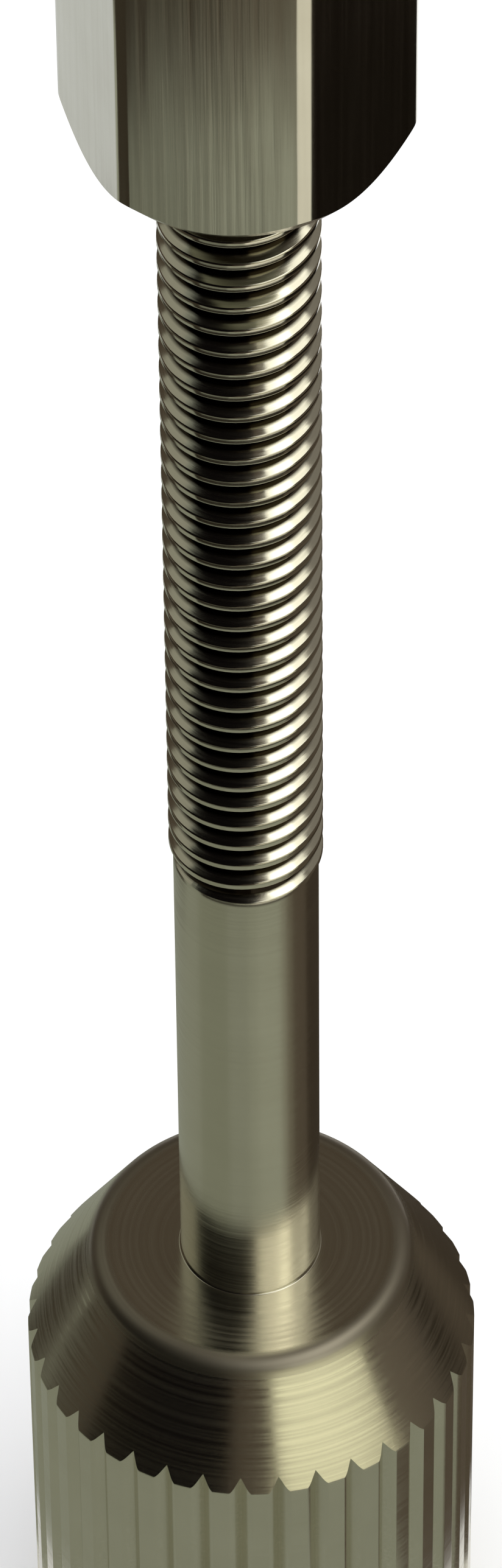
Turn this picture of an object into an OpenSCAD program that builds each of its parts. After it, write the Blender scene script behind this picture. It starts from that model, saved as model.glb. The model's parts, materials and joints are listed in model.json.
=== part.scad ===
// Hoop screw: a knurled thumb screw with a long hexagonal nut on the end of its thread.
// It stands on the flat end of its knob, with the screw's axis on +Z.

/* [Knob] */
// Diameter over the knurl's ridges
knob_d = 12.7; // [10:0.1:24]
// Length from the flat end to the clamping face
knob_len = 17.5; // [10:0.5:40]
// Diameter of the flat clamping face round the shank
clamp_face_d = 8.8; // [6:0.1:9.6]
// Height of the cone that leads from the clamping face down to the knurl
cone_h = 3.5; // [1:0.1:6]
// Width of the chamfer round the flat end
end_chamfer = 0.9; // [0.5:0.1:2]
// Number of ridges in the knurl
ridge_count = 36; // [18:1:44]
// Depth of the grooves between the ridges
groove_depth = 0.25; // [0.1:0.05:0.45]
// Width of each groove where it is open
groove_w = 0.55; // [0.2:0.05:0.85]

/* [Shank] */
// Diameter of the plain shank
shank_d = 3.92; // [2:0.02:4.1]
// Length of the plain shank
shank_len = 16.8; // [4:0.2:40]

/* [Thread] */
// Outside diameter of the thread
thread_d = 4.16; // [4:0.02:5]
// Length of the thread, from the shank to the tip
thread_len = 39.7; // [20:0.1:80]
// Distance from one turn of the thread to the next
thread_pitch = 0.794; // [0.4:0.002:1.2]
// Width of the chamfer at the tip
tip_chamfer = 0.5; // [0.2:0.1:1]

/* [Nut] */
// Width of the nut across its flats
nut_af = 7.94; // [7.8:0.02:12]
// Length of the nut
nut_len = 12.7; // [6:0.1:18]
// Diameter of the flat ring on each end of the nut
nut_face_d = 7.6; // [6:0.05:7.7]
// Height of the chamfer at the nut's corners
nut_chamfer_h = 1; // [0.2:0.05:1.5]
// Width of the chamfer round each mouth of the nut's hole
mouth_chamfer = 0.3; // [0.1:0.05:0.5]
// How far the screw's tip stays below the nut's upper end
tip_recess = 0.7; // [0:0.1:2]

/* [Hidden] */
// Radial play of the thread in the nut
thread_play = 0.05;
// Depth of the thread as a share of its pitch
thread_depth_share = 0.6134;
// Angle between the two flanks of one turn
flank_angle = 60;
// Overrun of every cut past the surface that it opens
overrun = 1;
// Share of its depth by which a groove's V runs on outside the knob
groove_clear_share = 0.2;
nickel = "#9a9680";
nickel_dark = "#8a8672";
hex_sides = 6;
$fn = 96;

knob_r = knob_d / 2;
clamp_face_r = clamp_face_d / 2;
shank_r = shank_d / 2;
thread_r = thread_d / 2;
rim_z = knob_len - cone_h;
thread_z = knob_len + shank_len;
tip_z = thread_z + thread_len;
thread_depth = thread_pitch * thread_depth_share;
turn_half_w = thread_depth * tan(flank_angle / 2);
first_turn_z = thread_z + thread_r - shank_r;
turn_count = floor((tip_z - tip_chamfer - first_turn_z) / thread_pitch);
nut_z = tip_z + tip_recess - nut_len;
nut_r = nut_af / 2;
nut_face_r = nut_face_d / 2;
nut_corner_r = nut_r / cos(180 / hex_sides);
bore_r = thread_r + thread_play;

// Outline of the thread, cut as one ring to each turn instead of a helix.
function thread_profile() = [
    for (turn = [0 : turn_count - 1])
        let (middle_z = first_turn_z + (turn + 1 / 2) * thread_pitch)
            each [
                [thread_r, middle_z - turn_half_w],
                [thread_r - thread_depth, middle_z],
                [thread_r, middle_z + turn_half_w]
            ]
];

// Half section of the bar after turning, from the flat end up to the tip.
function turned_profile() = [
    [0, 0],
    [knob_r - end_chamfer, 0],
    [knob_r, end_chamfer],
    [knob_r, rim_z],
    [clamp_face_r, knob_len],
    [shank_r, knob_len],
    [shank_r, thread_z],
    [thread_r, first_turn_z],
    each thread_profile(),
    [thread_r, tip_z - tip_chamfer],
    [thread_r - tip_chamfer, tip_z],
    [0, tip_z]
];

// One knurl groove, a V that runs up the knob and out through the cone.
module knurl_groove() {
    clear_h = groove_depth * groove_clear_share;
    mouth = groove_w / 2 * (1 + groove_clear_share);
    translate([0, 0, -overrun])
        linear_extrude(height = knob_len + overrun)
            polygon([
                [knob_r - groove_depth, 0],
                [knob_r + clear_h, -mouth],
                [knob_r + clear_h, mouth]
            ]);
}

module thumb_screw() {
    color(nickel)
        difference() {
            rotate_extrude()
                polygon(turned_profile());
            for (i = [0 : ridge_count - 1])
                rotate((i + 1 / 2) * 360 / ridge_count)
                    knurl_groove();
        }
}

// Half section that trims the hexagon's corners at both ends.
function nut_blank_profile() =
    let (
        rise_share = nut_chamfer_h / (nut_corner_r - nut_face_r),
        reach = nut_corner_r + overrun,
        rise = (reach - nut_face_r) * rise_share
    ) [
        [0, 0],
        [nut_face_r, 0],
        [reach, rise],
        [reach, nut_len - rise],
        [nut_face_r, nut_len],
        [0, nut_len]
    ];

// Half section of the hole through the nut, with its two chamfered mouths.
function nut_hole_profile() = [
    [0, -overrun],
    [bore_r + mouth_chamfer + overrun, -overrun],
    [bore_r, mouth_chamfer],
    [bore_r, nut_len - mouth_chamfer],
    [bore_r + mouth_chamfer + overrun, nut_len + overrun],
    [0, nut_len + overrun]
];

module hex_nut() {
    color(nickel_dark)
        translate([0, 0, nut_z])
            difference() {
                intersection() {
                    rotate_extrude()
                        polygon(nut_blank_profile());
                    translate([0, 0, -overrun])
                        cylinder(r = nut_corner_r, h = nut_len + 2 * overrun, $fn = hex_sides);
                }
                rotate_extrude()
                    polygon(nut_hole_profile());
            }
}

thumb_screw();
hex_nut();
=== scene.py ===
import json
import math

import bpy
from mathutils import Matrix, Vector


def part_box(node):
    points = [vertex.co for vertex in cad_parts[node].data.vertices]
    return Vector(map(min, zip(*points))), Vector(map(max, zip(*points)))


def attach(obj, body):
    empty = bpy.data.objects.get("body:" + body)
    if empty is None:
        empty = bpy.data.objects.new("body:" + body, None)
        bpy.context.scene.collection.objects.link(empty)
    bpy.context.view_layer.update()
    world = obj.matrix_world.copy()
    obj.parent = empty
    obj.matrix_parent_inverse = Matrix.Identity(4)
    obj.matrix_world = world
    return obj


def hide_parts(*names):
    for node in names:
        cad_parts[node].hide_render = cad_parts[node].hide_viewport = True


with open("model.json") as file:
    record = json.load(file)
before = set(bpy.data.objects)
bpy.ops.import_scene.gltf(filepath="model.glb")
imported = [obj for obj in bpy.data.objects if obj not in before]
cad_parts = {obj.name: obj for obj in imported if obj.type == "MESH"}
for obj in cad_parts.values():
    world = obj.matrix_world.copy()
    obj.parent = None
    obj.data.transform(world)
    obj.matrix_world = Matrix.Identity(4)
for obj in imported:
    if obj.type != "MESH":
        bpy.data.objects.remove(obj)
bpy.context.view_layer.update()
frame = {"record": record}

mm = 0.001
inch = 25.4 * mm
fullTurn = 2 * math.pi
mergeGap = 0.0005 * mm  # vertices closer than this are one
overrun = 0.2 * mm  # how far a cutter runs past the face it opens
turnSteps = 180  # steps of a turned surface, five to a ridge of the knurl
smoothAngle = math.radians(38)  # edges sharper than this stay sharp
noiseRange = (0.3, 0.7)  # where most values of a noise texture lie

# the frame's own sizes
mounts = {mount["name"]: mount for mount in frame["record"]["mounts"]}
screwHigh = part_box("thumb_screw")[1]
nutLow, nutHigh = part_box("hex_nut")
knobRadius = screwHigh.x
tipZ = screwHigh.z
clampZ = mounts["clamp_face"]["pos_m"][2]
shankRadius = mounts["shank"]["dims"]["r_mm"] * mm
shankTopZ = clampZ + mounts["shank"]["dims"]["length_mm"] * mm
threadRadius = mounts["thread"]["dims"]["r_mm"] * mm


def linearColour(hexCode):
    channels = [int(hexCode[place:place + 2], 16) / 255 for place in (1, 3, 5)]
    return [c / 12.92 if c <= 0.04045 else ((c + 0.055) / 1.055) ** 2.4 for c in channels] + [1.0]


def selectOnly(piece):
    bpy.ops.object.select_all(action="DESELECT")
    piece.select_set(True)
    bpy.context.view_layer.objects.active = piece


def applyModifier(piece, kind, **settings):
    selectOnly(piece)
    modifier = piece.modifiers.new(kind.title(), kind)
    for name, value in settings.items():
        setattr(modifier, name, value)
    bpy.ops.object.modifier_apply(modifier=modifier.name)


def combine(piece, tool, operation):
    applyModifier(piece, "BOOLEAN", object=tool, operation=operation, solver="EXACT")
    bpy.data.objects.remove(tool)


def closeMesh():
    # in edit mode: doubles merged, then faces turned outwards
    bpy.ops.mesh.select_all(action="SELECT")
    bpy.ops.mesh.remove_doubles(threshold=mergeGap)
    bpy.ops.mesh.normals_make_consistent(inside=False)


def roundCorners(corners, steps):
    # corners are (radius, height, rounding), each rounding becomes an arc of so many steps
    points = []
    for place, (radius, height, rounding) in enumerate(corners):
        here = Vector((radius, height))
        if not rounding:
            points.append(here)
            continue
        back = (Vector(corners[place - 1][:2]) - here).normalized()
        ahead = (Vector(corners[place + 1][:2]) - here).normalized()
        half = back.angle(ahead) / 2
        centre = here + (back + ahead).normalized() * rounding / math.sin(half)
        start = here + back * rounding / math.tan(half) - centre
        end = here + ahead * rounding / math.tan(half) - centre
        sweep = math.atan2(start.x * end.y - start.y * end.x, start.dot(end))
        for step in range(steps + 1):
            points.append(centre + Matrix.Rotation(sweep * step / steps, 2) @ start)
    return points


def drawLine(name, points):
    # a plane merged to one vertex, then extruded from point to point above +X
    bpy.ops.object.select_all(action="DESELECT")
    bpy.ops.mesh.primitive_plane_add(size=mm)
    line = bpy.context.object
    line.name = name
    bpy.ops.object.mode_set(mode="EDIT")
    bpy.ops.mesh.select_mode(type="VERT")
    bpy.ops.mesh.select_all(action="SELECT")
    bpy.ops.mesh.merge(type="CENTER")
    here = Vector((points[0][0], 0, points[0][1]))
    bpy.ops.transform.translate(value=here)
    for radius, height in points[1:]:
        there = Vector((radius, 0, height))
        bpy.ops.mesh.extrude_vertices_move(TRANSFORM_OT_translate={"value": there - here})
        here = there
    return line


def turnPiece(name, points, angle=fullTurn, steps=turnSteps):
    piece = drawLine(name, points)
    bpy.ops.mesh.select_all(action="SELECT")
    bpy.ops.mesh.spin(steps=steps, angle=angle, center=(0, 0, 0), axis=(0, 0, 1))
    closeMesh()
    bpy.ops.object.mode_set(mode="OBJECT")
    return piece


def finishPiece(piece, body, node, material):
    selectOnly(piece)
    bpy.ops.object.shade_smooth_by_angle(angle=smoothAngle)
    # faces measured in metres are too small for this modifier, so it works on a thousandfold piece
    for factor in (1 / mm, mm):
        piece.scale = (factor, factor, factor)
        bpy.ops.object.transform_apply(location=False, rotation=False, scale=True)
        if factor > 1:
            applyModifier(piece, "WEIGHTED_NORMAL", keep_sharp=True)
    piece.data.materials.clear()
    piece.data.materials.append(material)
    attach(piece, body)
    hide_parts(node)


def addNode(material, kind, settings=None, inputs=None):
    # an input is a plain value, or the output socket of another node
    node = material.node_tree.nodes.new(kind)
    for name, value in (settings or {}).items():
        setattr(node, name, value)
    for name, value in (inputs or {}).items():
        if isinstance(value, bpy.types.NodeSocket):
            material.node_tree.links.new(value, node.inputs[name])
        else:
            node.inputs[name].default_value = value
    return node


def newMaterial(name):
    material = bpy.data.materials.new(name)
    material.use_nodes = True
    material.node_tree.nodes.clear()
    return material


def directionTo(azimuth, elevation):
    level = math.cos(elevation)
    return Vector((math.sin(azimuth) * level, -math.cos(azimuth) * level, math.sin(elevation)))


# camera: the photo looks down on the screw, a little to the right of the nut's front flat
view = {
    "azimuth": math.radians(8.2),
    "elevation": math.radians(49.1),
    "distance": 261 * mm,
    "aimHeight": 37.13 * mm,
    "sideStep": 0.157 * mm,
    "roll": math.radians(-0.611),
    "lens": 224.5,
}
towards = directionTo(view["azimuth"], view["elevation"])
sideways = Vector((math.cos(view["azimuth"]), math.sin(view["azimuth"]), 0))
bpy.ops.object.select_all(action="DESELECT")
bpy.ops.object.camera_add()
camera = bpy.context.object
camera.location = Vector((0, 0, view["aimHeight"])) + towards * view["distance"] + sideways * view["sideStep"]
turned = (-towards).to_track_quat("-Z", "Y").to_matrix() @ Matrix.Rotation(view["roll"], 3, "Z")
camera.rotation_euler = turned.to_euler()
camera.data.lens = view["lens"]
camera.data.clip_start = 1 * mm
bpy.context.scene.camera = camera
print("camera placed")


# the thread, shared by the screw and the hole in its nut
thread = {
    "pitch": inch / 32,
    "depthShare": 0.6,  # of the pitch, for flanks 60 degrees apart
    "crestShare": 0.25,
    "rootShare": 0.0572,
    "crestRound": 0.06 * mm,
    "rootRound": 0.035 * mm,
    "cornerSteps": 2,
    "steps": 72,  # to each turn
    "spareTurns": 2,  # past both ends, before they are cut level
    "nutGap": 0.05 * mm,  # the nut's thread is this much wider all round
}


def threadedRod(name, bottom, top, growth):
    pitch = thread["pitch"]
    crest = threadRadius + growth
    root = crest - thread["depthShare"] * pitch
    rootEnd = thread["rootShare"] / 2 * pitch
    crestStart = (1 - thread["crestShare"]) / 2 * pitch
    tooth = roundCorners([
        (root, 0, 0),
        (root, rootEnd, thread["rootRound"]),
        (crest, crestStart, thread["crestRound"]),
        (crest, pitch - crestStart, thread["crestRound"]),
        (root, pitch - rootEnd, thread["rootRound"]),
        (root, pitch, 0),
    ], thread["cornerSteps"])
    # every rod starts on a whole pitch from the shank, so that screw and nut mesh
    start = shankTopZ + (math.floor((bottom - shankTopZ) / pitch) - thread["spareTurns"]) * pitch
    rod = drawLine(name, [(radius, start + height) for radius, height in tooth])
    bpy.ops.object.mode_set(mode="OBJECT")
    applyModifier(rod, "SCREW", axis="Z", angle=fullTurn, screw_offset=pitch,
                  iterations=math.ceil((top - start) / pitch) + thread["spareTurns"],
                  steps=thread["steps"], render_steps=thread["steps"])
    bpy.ops.object.mode_set(mode="EDIT")
    closeMesh()
    for height, side in ((bottom, {"clear_inner": True}), (top, {"clear_outer": True})):
        bpy.ops.mesh.select_all(action="SELECT")
        bpy.ops.mesh.bisect(plane_co=(0, 0, height), plane_no=(0, 0, 1), use_fill=True,
                            threshold=mergeGap, **side)
    closeMesh()
    bpy.ops.object.mode_set(mode="OBJECT")
    return rod


def axisPlace(material):
    # the place on the piece, its distance from the screw's axis and its height
    place = addNode(material, "ShaderNodeTexCoord").outputs["Object"]
    split = addNode(material, "ShaderNodeSeparateXYZ", inputs={"Vector": place})
    flat = addNode(material, "ShaderNodeVectorMath", {"operation": "MULTIPLY"}, {0: place, 1: (1, 1, 0)})
    radius = addNode(material, "ShaderNodeVectorMath", {"operation": "LENGTH"}, {0: flat.outputs["Vector"]})
    return place, radius.outputs["Value"], split.outputs["Z"]


def plateWithPaintedShade(material, tone, clouds, radius, height):
    # cloudy plate, with painted shade near the axis and below a given height
    plate = addNode(material, "ShaderNodeMix", {"data_type": "RGBA"},
                    {0: clouds.outputs["Fac"], 6: linearColour(tone["plate"]), 7: linearColour(tone["worn"])})
    near = addNode(material, "ShaderNodeMapRange", {},
                   {"Value": radius, "From Min": tone["paintedShadeRadius"][0], "From Max": tone["paintedShadeRadius"][1],
                    "To Min": 1.0, "To Max": 0.0})
    below = addNode(material, "ShaderNodeMath", {"operation": "LESS_THAN"}, {0: height, 1: tone["paintedShadeTop"]})
    # the mask of the painted shade: near the axis and below the given height
    paintedShade = addNode(material, "ShaderNodeMath", {"operation": "MULTIPLY"},
                  {0: near.outputs["Result"], 1: below.outputs["Value"]})
    colour = addNode(material, "ShaderNodeMix", {"data_type": "RGBA"},
                     {0: paintedShade.outputs["Value"], 6: plate.outputs[2], 7: linearColour(tone["paintedShade"])})
    return colour.outputs[2]


def finishMaterial(material, colour, rough, bump):
    shader = addNode(material, "ShaderNodeBsdfPrincipled", {},
                     {"Base Color": colour, "Metallic": 1.0, "Roughness": rough,
                      "Normal": bump.outputs["Normal"]})
    addNode(material, "ShaderNodeOutputMaterial", {}, {"Surface": shader.outputs["BSDF"]})


# turned steel under nickel plate: fine rings from the lathe round the axis, a soft warm shine with
# faint cloudy tones and shallow dents, a sharper shine on the rolled thread, painted shade in its grooves
# and a rougher edge of the clamping face, painted darker as painted shade that dims its highlight
turnedTone = {
    "plate": "#dcd8c8",
    "worn": "#d0ccba",
    "ringWidth": 0.09 * mm,  # the lathe's feed
    "ringDepth": 0.0008 * mm,
    "ringDetail": 3.0,
    "cloudSize": 2.2 * mm,
    "cloudDetail": 4.0,
    "dentDepth": 0.006 * mm,
    "roughLow": 0.17,
    "roughHigh": 0.27,
    "threadShare": 0.6,  # of the roughness and the rings, on the thread
    "threadBlend": 0.3 * mm,
    # painted shade: the thread's roots are painted dark, where shade falls between the turns
    "paintedShade": "#2e2820",
    "paintedShadeRadius": (1.84 * mm, 1.93 * mm),  # over which the painted shade fades out
    "paintedShadeTop": tipZ - 0.6 * mm,
    # the edge of the clamping face is rougher and painted darker, a painted shade that dims its highlight
    "rimShadeRadius": 4.32 * mm,
    "rimShadeReach": (0.12 * mm, 0.36 * mm),  # to either side, over which the painted shade and the rougher edge fade out
    "rimShadeFloor": clampZ - 1 * mm,
    "rimShadeRough": 0.46,
    "rimShadeColour": "#a8a192",
}


def turnedNickel():
    tone = turnedTone
    material = newMaterial("turnedNickelPlate")
    place, radius, height = axisPlace(material)
    section = addNode(material, "ShaderNodeCombineXYZ", inputs={"X": radius, "Y": height})
    rings = addNode(material, "ShaderNodeTexNoise", {"noise_dimensions": "2D"},
                    {"Vector": section.outputs["Vector"], "Scale": 1 / tone["ringWidth"],
                     "Detail": tone["ringDetail"]})
    clouds = addNode(material, "ShaderNodeTexNoise", {},
                     {"Vector": place, "Scale": 1 / tone["cloudSize"], "Detail": tone["cloudDetail"]})
    colour = plateWithPaintedShade(material, tone, clouds, radius, height)
    share = addNode(material, "ShaderNodeMapRange", {},
                    {"Value": height, "From Min": shankTopZ, "From Max": shankTopZ + tone["threadBlend"],
                     "To Min": 1.0, "To Max": tone["threadShare"]})
    turnedRough = addNode(material, "ShaderNodeMapRange", {},
                          {"Value": rings.outputs["Fac"],
                           "From Min": noiseRange[0], "From Max": noiseRange[1],
                           "To Min": tone["roughLow"], "To Max": tone["roughHigh"]})
    rough = addNode(material, "ShaderNodeMath", {"operation": "MULTIPLY"},
                    {0: turnedRough.outputs["Result"], 1: share.outputs["Result"]})
    # a ring round the edge of the clamping face: rougher, and painted darker as painted shade
    aside = addNode(material, "ShaderNodeMath", {"operation": "SUBTRACT"},
                    {0: radius, 1: tone["rimShadeRadius"]})
    away = addNode(material, "ShaderNodeMath", {"operation": "ABSOLUTE"}, {0: aside.outputs["Value"]})
    edge = addNode(material, "ShaderNodeMapRange", {},
                   {"Value": away.outputs["Value"], "From Min": tone["rimShadeReach"][0],
                    "From Max": tone["rimShadeReach"][1], "To Min": 1.0, "To Max": 0.0})
    aboveFloor = addNode(material, "ShaderNodeMath", {"operation": "GREATER_THAN"},
                         {0: height, 1: tone["rimShadeFloor"]})
    rimShadeMask = addNode(material, "ShaderNodeMath", {"operation": "MULTIPLY"},
                     {0: edge.outputs["Result"], 1: aboveFloor.outputs["Value"]})
    dulled = addNode(material, "ShaderNodeMix", {"data_type": "FLOAT"},
                     {0: rimShadeMask.outputs["Value"], 2: rough.outputs["Value"], 3: tone["rimShadeRough"]})
    rimShaded = addNode(material, "ShaderNodeMix", {"data_type": "RGBA"},
                    {0: rimShadeMask.outputs["Value"], 6: colour, 7: linearColour(tone["rimShadeColour"])})
    dents = addNode(material, "ShaderNodeBump", {},
                    {"Height": clouds.outputs["Fac"], "Distance": tone["dentDepth"], "Strength": 1.0})
    bump = addNode(material, "ShaderNodeBump", {},
                   {"Height": rings.outputs["Fac"], "Distance": tone["ringDepth"],
                    "Strength": share.outputs["Result"], "Normal": dents.outputs["Normal"]})
    finishMaterial(material, rimShaded.outputs[2], dulled.outputs[0], bump)
    return material


screw = {
    "clampFaceRadius": 4.4 * mm,
    "coneHeight": 3.5 * mm,
    "coneRun": 1.95 * mm,
    "coneRings": (0.2, 0.4, 0.6),  # extra rings, which keep the cone's shading even above the knurl
    "endChamfer": 0.9 * mm,
    "edgeRound": 0.12 * mm,
    "faceRound": 0.55 * mm,  # the clamping face runs softly into the cone
    "shankFillet": 0.06 * mm,
    "cornerSteps": 5,
    "ridgeCount": 36,
    "grooveDepth": 0.25 * mm,
    "grooveWidth": 0.55 * mm,
    "shoulderRound": 0.5 * mm,  # the ridges are round on both sides
    "cutterMouth": 1.0 * mm,
    "cutterRise": 0.03 * mm,
    "rimRound": 0.03 * mm,
    "rimSteps": 2,
    "rimAngle": math.radians(32),  # edges sharper than this are rounded
    "runOut": 2 * thread["pitch"],  # over which the thread fades into the shank
    "coreInset": overrun / 4,  # the core ends inside the thread
    "threadInset": overrun / 3,  # the thread starts inside the core and grows out of it
    "threadLap": 0.15 * mm,
    "tipChamfer": 0.5 * mm,
}


def knurlCutter():
    # one V with round shoulders, pointing at the axis, then repeated round the knob
    half = screw["grooveWidth"] / 2
    mouth = screw["cutterMouth"] / 2
    section = roundCorners([
        (-mouth, screw["cutterRise"], 0),
        (-half, 0, screw["shoulderRound"]),
        (0, -screw["grooveDepth"], 0),
        (half, 0, screw["shoulderRound"]),
        (mouth, screw["cutterRise"], 0),
    ], screw["cornerSteps"])
    cutter = drawLine("knurlCutter", [(side, knobRadius + height) for side, height in section])
    bpy.ops.mesh.select_all(action="SELECT")
    bpy.ops.mesh.edge_face_add()
    bpy.ops.mesh.extrude_region_move(TRANSFORM_OT_translate={"value": (0, clampZ + overrun, 0)})
    bpy.ops.object.mode_set(mode="OBJECT")
    step = fullTurn / screw["ridgeCount"]
    cutter.location.z = -overrun
    cutter.rotation_euler = (fullTurn / 4, 0, step / 2)
    selectOnly(cutter)
    bpy.ops.object.transform_apply(location=True, rotation=True, scale=True)
    bpy.ops.object.mode_set(mode="EDIT")
    bpy.ops.mesh.select_all(action="SELECT")
    bpy.ops.mesh.spin(steps=screw["ridgeCount"] - 1, dupli=True, angle=fullTurn - step,
                      center=(0, 0, 0), axis=(0, 0, 1))
    bpy.ops.mesh.select_all(action="SELECT")
    bpy.ops.mesh.normals_make_consistent(inside=False)
    bpy.ops.object.mode_set(mode="OBJECT")
    return cutter


def makeThumbScrew():
    edge = screw["edgeRound"]
    rootRadius = threadRadius - thread["depthShare"] * thread["pitch"]
    runOutZ = shankTopZ + screw["runOut"]
    piece = turnPiece("thumbScrew", roundCorners([
        (0, 0, 0),
        (knobRadius - screw["endChamfer"], 0, edge),
        (knobRadius, screw["endChamfer"], edge),
        (knobRadius, clampZ - screw["coneHeight"], edge),
        *[(knobRadius - screw["coneRun"] * share, clampZ - screw["coneHeight"] * (1 - share), 0)
          for share in screw["coneRings"]],
        (screw["clampFaceRadius"], clampZ, screw["faceRound"]),
        (shankRadius, clampZ, screw["shankFillet"]),
        (shankRadius, shankTopZ, 0),
        (rootRadius - screw["coreInset"], runOutZ, 0),
        (0, runOutZ, 0),
    ], screw["cornerSteps"]))
    combine(piece, knurlCutter(), "DIFFERENCE")
    applyModifier(piece, "BEVEL", width=screw["rimRound"], segments=screw["rimSteps"],
                  limit_method="ANGLE", angle_limit=screw["rimAngle"])
    print("knob knurled", len(piece.data.polygons), "faces")

    startZ = shankTopZ + screw["threadLap"]
    startRadius = shankRadius - screw["threadInset"]
    reach = threadRadius + overrun
    rod = threadedRod("screwThread", startZ, tipZ, 0)
    envelope = turnPiece("threadEnvelope", [
        (0, startZ - overrun),
        (startRadius, startZ - overrun),
        (startRadius, startZ),
        (reach, startZ + reach - startRadius),
        (reach, tipZ - screw["tipChamfer"] - overrun),
        (threadRadius - screw["tipChamfer"] - overrun, tipZ + overrun),
        (0, tipZ + overrun),
    ])
    combine(rod, envelope, "INTERSECT")
    combine(piece, rod, "UNION")
    finishPiece(piece, "screw", "thumb_screw", turnedNickel())
    print("thread cut", len(piece.data.polygons), "faces")


# drawn hexagon bar under nickel plate: fine streaks along the bar, sharper than the turned faces, and
# painted shade round the lower mouth of the hole, under the nut and in the lower part of its thread
drawnTone = {
    "plate": "#dad7ca",
    "worn": "#c6c2b2",
    "streakWidth": 0.16 * mm,  # a die's marks are finer, these are as coarse as they need to show
    "streakLength": 9 * mm,
    "streakDepth": 0.003 * mm,
    "streakDetail": 3.0,
    "cloudSize": 2.6 * mm,
    "cloudDetail": 4.0,
    "roughLow": 0.1,
    "roughHigh": 0.17,
    # painted shade under the nut and inside the lower part of its hole
    "paintedShade": "#2e2820",
    "paintedShadeRadius": (3.0 * mm, 3.7 * mm),  # over which the painted shade fades out
    "paintedShadeTop": nutLow.z + 3 * mm,
}


def drawnNickel():
    tone = drawnTone
    material = newMaterial("drawnNickelPlate")
    place, radius, height = axisPlace(material)
    along = addNode(material, "ShaderNodeVectorMath", {"operation": "MULTIPLY"},
                    {0: place, 1: (1, 1, tone["streakWidth"] / tone["streakLength"])})
    streaks = addNode(material, "ShaderNodeTexNoise", {},
                      {"Vector": along.outputs["Vector"], "Scale": 1 / tone["streakWidth"],
                       "Detail": tone["streakDetail"]})
    clouds = addNode(material, "ShaderNodeTexNoise", {},
                     {"Vector": place, "Scale": 1 / tone["cloudSize"], "Detail": tone["cloudDetail"]})
    colour = plateWithPaintedShade(material, tone, clouds, radius, height)
    rough = addNode(material, "ShaderNodeMapRange", {},
                    {"Value": streaks.outputs["Fac"], "From Min": noiseRange[0], "From Max": noiseRange[1],
                     "To Min": tone["roughLow"], "To Max": tone["roughHigh"]})
    bump = addNode(material, "ShaderNodeBump", {},
                   {"Height": streaks.outputs["Fac"], "Distance": tone["streakDepth"], "Strength": 1.0})
    finishMaterial(material, colour, rough.outputs["Result"], bump)
    return material


nut = {
    "sides": 6,
    "cornerRound": 0.42 * mm,
    "cornerSteps": 5,
    "endFaceRadius": 3.8 * mm,
    "chamferHeight": 1.0 * mm,
    "endSteps": 3,
    "edgeRound": 0.06 * mm,
    "edgeSteps": 2,
    "edgeAngle": math.radians(30),  # edges sharper than this are rounded
    "mouthChamfer": 0.3 * mm,
}


def makeHexNut():
    bottom = nutLow.z
    top = nutHigh.z
    length = top - bottom
    cornerRadius = nutHigh.x
    bpy.ops.object.select_all(action="DESELECT")
    bpy.ops.mesh.primitive_cylinder_add(vertices=nut["sides"], radius=cornerRadius,
                                        depth=length + 2 * overrun,
                                        location=(0, 0, (bottom + top) / 2),
                                        rotation=(0, 0, fullTurn / nut["sides"] / 2))
    piece = bpy.context.object
    piece.name = "hexNut"
    bpy.ops.object.transform_apply(location=True, rotation=True, scale=True)
    # the six upright edges of the bar are rounded first
    vertices = piece.data.vertices
    for polygon in piece.data.polygons:
        polygon.select = False
    for edge in piece.data.edges:
        low, high = (vertices[place].co.z for place in edge.vertices)
        edge.select = abs(low - high) > length
    bpy.ops.object.mode_set(mode="EDIT")
    bpy.ops.mesh.select_mode(type="EDGE")
    bpy.ops.mesh.bevel(offset=nut["cornerRound"], segments=nut["cornerSteps"], affect="EDGES")
    bpy.ops.object.mode_set(mode="OBJECT")
    # then both ends are chamfered on the lathe
    slope = nut["chamferHeight"] / (cornerRadius - nut["endFaceRadius"])
    reach = cornerRadius + overrun
    rise = (reach - nut["endFaceRadius"]) * slope
    edgeRound = nut["edgeRound"]
    blank = turnPiece("nutBlank", roundCorners([
        (0, bottom, 0),
        (nut["endFaceRadius"], bottom, edgeRound),
        (reach, bottom + rise, 0),
        (reach, top - rise, 0),
        (nut["endFaceRadius"], top, edgeRound),
        (0, top, 0),
    ], nut["endSteps"]))
    combine(piece, blank, "INTERSECT")
    applyModifier(piece, "BEVEL", width=edgeRound, segments=nut["edgeSteps"],
                  limit_method="ANGLE", angle_limit=nut["edgeAngle"])
    print("nut blank", len(piece.data.polygons), "faces")
    # tapped right through, with a cone of 45 degrees at each mouth
    tap = threadedRod("nutThread", bottom - overrun, top + overrun, thread["nutGap"])
    combine(piece, tap, "DIFFERENCE")
    mouth = threadRadius + thread["nutGap"] + nut["mouthChamfer"]
    for end, inward in ((bottom, 1), (top, -1)):
        cone = turnPiece("nutMouth", [
            (0, end - overrun * inward),
            (mouth + overrun, end - overrun * inward),
            (mouth / 2, end + mouth / 2 * inward),
            (0, end + mouth / 2 * inward),
        ])
        combine(piece, cone, "DIFFERENCE")
    finishPiece(piece, "nut", "hex_nut", drawnNickel())
    print("nut tapped", len(piece.data.polygons), "faces")


makeThumbScrew()
makeHexNut()


# a white table in a white room, with dark, khaki and pale cards that only the metal's reflections see
table = {"radius": 10, "sides": 96, "drop": 0.02 * mm, "white": "#fafafc"}  # the radius in metres
cardSteps = 48


def makeFloor():
    material = newMaterial("whiteTable")
    paint = addNode(material, "ShaderNodeBsdfDiffuse", {}, {"Color": linearColour(table["white"])})
    addNode(material, "ShaderNodeOutputMaterial", {}, {"Surface": paint.outputs["BSDF"]})
    bpy.ops.object.select_all(action="DESELECT")
    bpy.ops.mesh.primitive_circle_add(vertices=table["sides"], radius=table["radius"], fill_type="NGON",
                                      location=(0, 0, -table["drop"]))
    floor = bpy.context.object
    floor.name = "floor"
    floor.data.materials.append(material)


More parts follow.
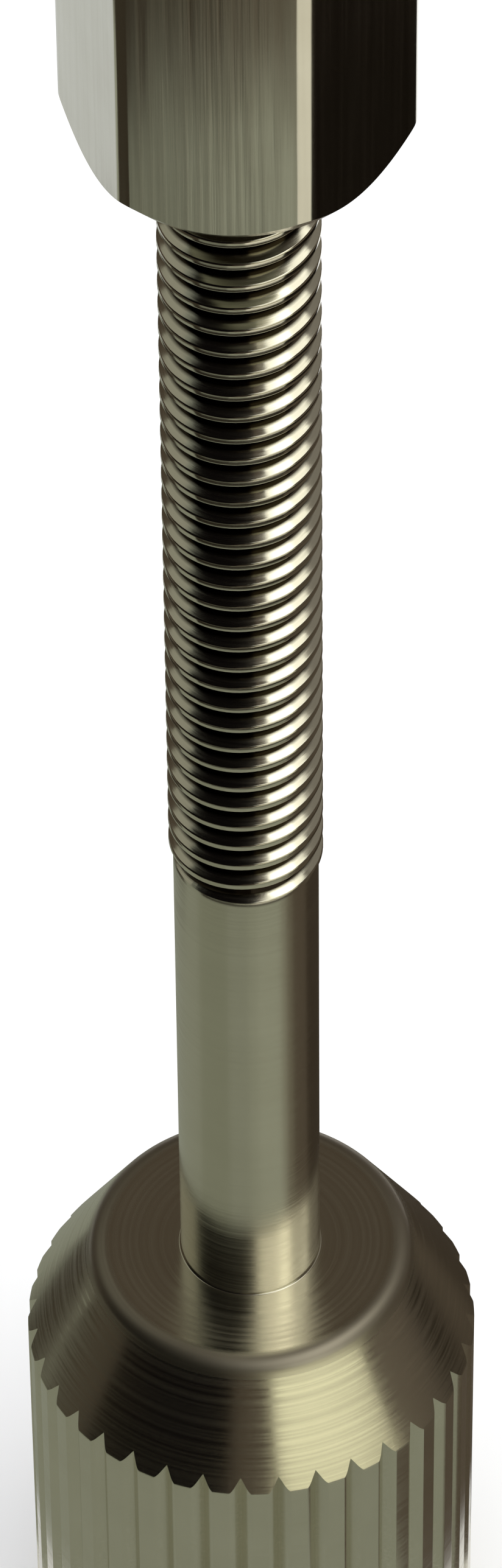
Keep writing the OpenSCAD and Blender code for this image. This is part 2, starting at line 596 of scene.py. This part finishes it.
def makeCard(name, points, azimuths, colour, strength=1.0):
    # azimuths in degrees from the camera's side of the screw, to the right
    first, last = (math.radians(azimuth) for azimuth in azimuths)
    card = turnPiece(name, points, last - first, cardSteps)
    card.rotation_euler.z = view["azimuth"] + last - fullTurn / 4  # spin goes back to the first from here
    selectOnly(card)
    bpy.ops.object.transform_apply(location=True, rotation=True, scale=True)
    material = newMaterial(name)
    glow = addNode(material, "ShaderNodeEmission", {}, {"Color": linearColour(colour), "Strength": strength})
    addNode(material, "ShaderNodeOutputMaterial", {}, {"Surface": glow.outputs["Emission"]})
    material.cycles.emission_sampling = "NONE"  # a card is met by reflections, it isn't a lamp
    card.data.materials.append(material)
    card.visible_camera = False
    card.visible_diffuse = False
    card.visible_transmission = False
    card.visible_shadow = False


def domeLine(radius, low, high, steps=24):
    angles = [math.radians(low + (high - low) * step / steps) for step in range(steps + 1)]
    return [(radius * math.cos(angle), radius * math.sin(angle)) for angle in angles]


# parts of a dome round the screw: radius in mm, elevations and azimuths in degrees
shades = {
    "roomShade": {"radius": 450, "elevations": (0, 90), "azimuths": (0, 360), "colour": "#4f463c"},
    "frontFlag": {"radius": 400, "elevations": (0, 78), "azimuths": (-100, -10), "colour": "#0c0a0a"},
    "upperFlag": {"radius": 400, "elevations": (28, 78), "azimuths": (-10, 9), "colour": "#16130f"},
}
# flat cards on the table, where the higher of two covers the lower: reach from the axis and height in mm
cards = {
    "khakiCard": {"reach": (9, 59), "height": 0.05, "azimuths": (-122, 62), "colour": "#8f9284"},
    "frontCard": {"reach": (59, 71), "height": 0.05, "azimuths": (-122, 62), "colour": "#acaf9f"},
    "gradeCard": {"reach": (59, 71), "height": 0.055, "azimuths": (-60, -16), "colour": "#84877a"},
    "upperGrade": {"reach": (71, 110), "height": 0.055, "azimuths": (-16, 30), "colour": "#645c4f"},
    "lowerGrade": {"reach": (71, 110), "height": 0.055, "azimuths": (-60, -16), "colour": "#383128"},
    "brownCard": {"reach": (71, 440), "height": 0.05, "azimuths": (-122, 62), "colour": "#4d453a"},
    "frontShade": {"reach": (41, 59), "height": 0.06, "azimuths": (-68, 62), "colour": "#241f18"},
    "shankCard": {"reach": (18, 36), "height": 0.06, "azimuths": (16, 54), "colour": "#9ea192"},
    "easeCard": {"reach": (18, 36), "height": 0.06, "azimuths": (2, 16), "colour": "#979a8b"},
    "softCard": {"reach": (18, 36), "height": 0.06, "azimuths": (-80, -30), "colour": "#868979"},
    "duskCard": {"reach": (18, 36), "height": 0.06, "azimuths": (54, 64), "colour": "#8c8a7c"},
    "dimCard": {"reach": (18, 36), "height": 0.06, "azimuths": (64, 76), "colour": "#6e695b"},
    "farShade": {"reach": (110, 440), "height": 0.06, "azimuths": (-75, 8), "colour": "#1c1814"},
    "paleCard": {"reach": (60, 95), "height": 0.07, "azimuths": (8, 60), "colour": "#f4f0e0"},
    "edgeShade": {"reach": (58, 85), "height": 0.07, "azimuths": (-105, -55), "colour": "#3c362c"},
    "leftShade": {"reach": (32, 60), "height": 0.09, "azimuths": (-138, -105), "colour": "#3a332a"},
    "sideCard": {"reach": (9, 58), "height": 0.05, "azimuths": (-180, -122), "colour": "#8f9284"},
    "greyCard": {"reach": (58, 100), "height": 0.05, "azimuths": (-180, -122), "colour": "#d4d7d6"},
    "backCard": {"reach": (100, 440), "height": 0.05, "azimuths": (-160, -122), "colour": "#4d453a"},
    "nearCard": {"reach": (9, 52), "height": 0.05, "azimuths": (62, 180), "colour": "#564d42"},
    "deepCard": {"reach": (17, 34), "height": 0.06, "azimuths": (106, 180), "colour": "#3a3229"},
    "blackCard": {"reach": (52, 82), "height": 0.05, "azimuths": (62, 140), "colour": "#16120e"},
    "farCard": {"reach": (82, 440), "height": 0.05, "azimuths": (62, 160), "colour": "#6a6156"},
}
# a pale strip that stands at the right, low down
strip = {"radius": 300, "heights": (4, 94), "azimuths": (11, 64), "colour": "#fdfbda", "strength": 1.15}

makeFloor()
for name, shade in shades.items():
    makeCard(name, domeLine(shade["radius"] * mm, *shade["elevations"]), shade["azimuths"], shade["colour"])
for name, card in cards.items():
    makeCard(name, [(reach * mm, card["height"] * mm) for reach in card["reach"]], card["azimuths"],
             card["colour"])
makeCard("lowStrip", [(strip["radius"] * mm, height * mm) for height in strip["heights"]],
         strip["azimuths"], strip["colour"], strip["strength"])
print("floor and cards placed")


# distances and sizes in mm, azimuths as those of the cards
lamps = {
    "softbox": {"azimuth": 40, "elevation": 47, "distance": 300, "size": (190, 250), "radiance": 1.08,
                "colour": "#fffff6"},
    "topPanel": {"azimuth": 80, "elevation": 65, "distance": 320, "size": (190, 135), "radiance": 1.4,
                 "colour": "#fffff6"},
    "leftPanel": {"azimuth": -128, "elevation": 50, "distance": 320, "size": (220, 185), "radiance": 0.3,
                  "colour": "#f0f6e6"},
    "rightPanel": {"azimuth": 122, "elevation": 36, "distance": 320, "size": (200, 240), "radiance": 0.17,
                   "colour": "#f4f4ee"},
}


def makeLamp(name, lamp):
    # an area lamp of a given radiance, aimed at the foot of the screw
    away = directionTo(view["azimuth"] + math.radians(lamp["azimuth"]), math.radians(lamp["elevation"]))
    bpy.ops.object.select_all(action="DESELECT")
    bpy.ops.object.light_add(type="AREA", location=away * lamp["distance"] * mm)
    light = bpy.context.object
    light.name = name
    light.rotation_euler = away.to_track_quat("Z", "Y").to_euler()
    light.data.shape = "RECTANGLE"
    light.data.size = lamp["size"][0] * mm
    light.data.size_y = lamp["size"][1] * mm
    light.data.energy = lamp["radiance"] * math.pi * light.data.size * light.data.size_y
    light.data.color = linearColour(lamp["colour"])[:3]
    light.visible_camera = False


for name, lamp in lamps.items():
    makeLamp(name, lamp)

world = bpy.data.worlds.new("studio")
world.use_nodes = True
world.node_tree.nodes["Background"].inputs["Color"].default_value = (1, 1, 1, 1)
world.node_tree.nodes["Background"].inputs["Strength"].default_value = 1.0
world.cycles.sampling_method = "NONE"  # so that the cards cover the room in every reflection
bpy.context.scene.world = world
bpy.context.scene.view_settings.view_transform = "Standard"
print("lamps placed")
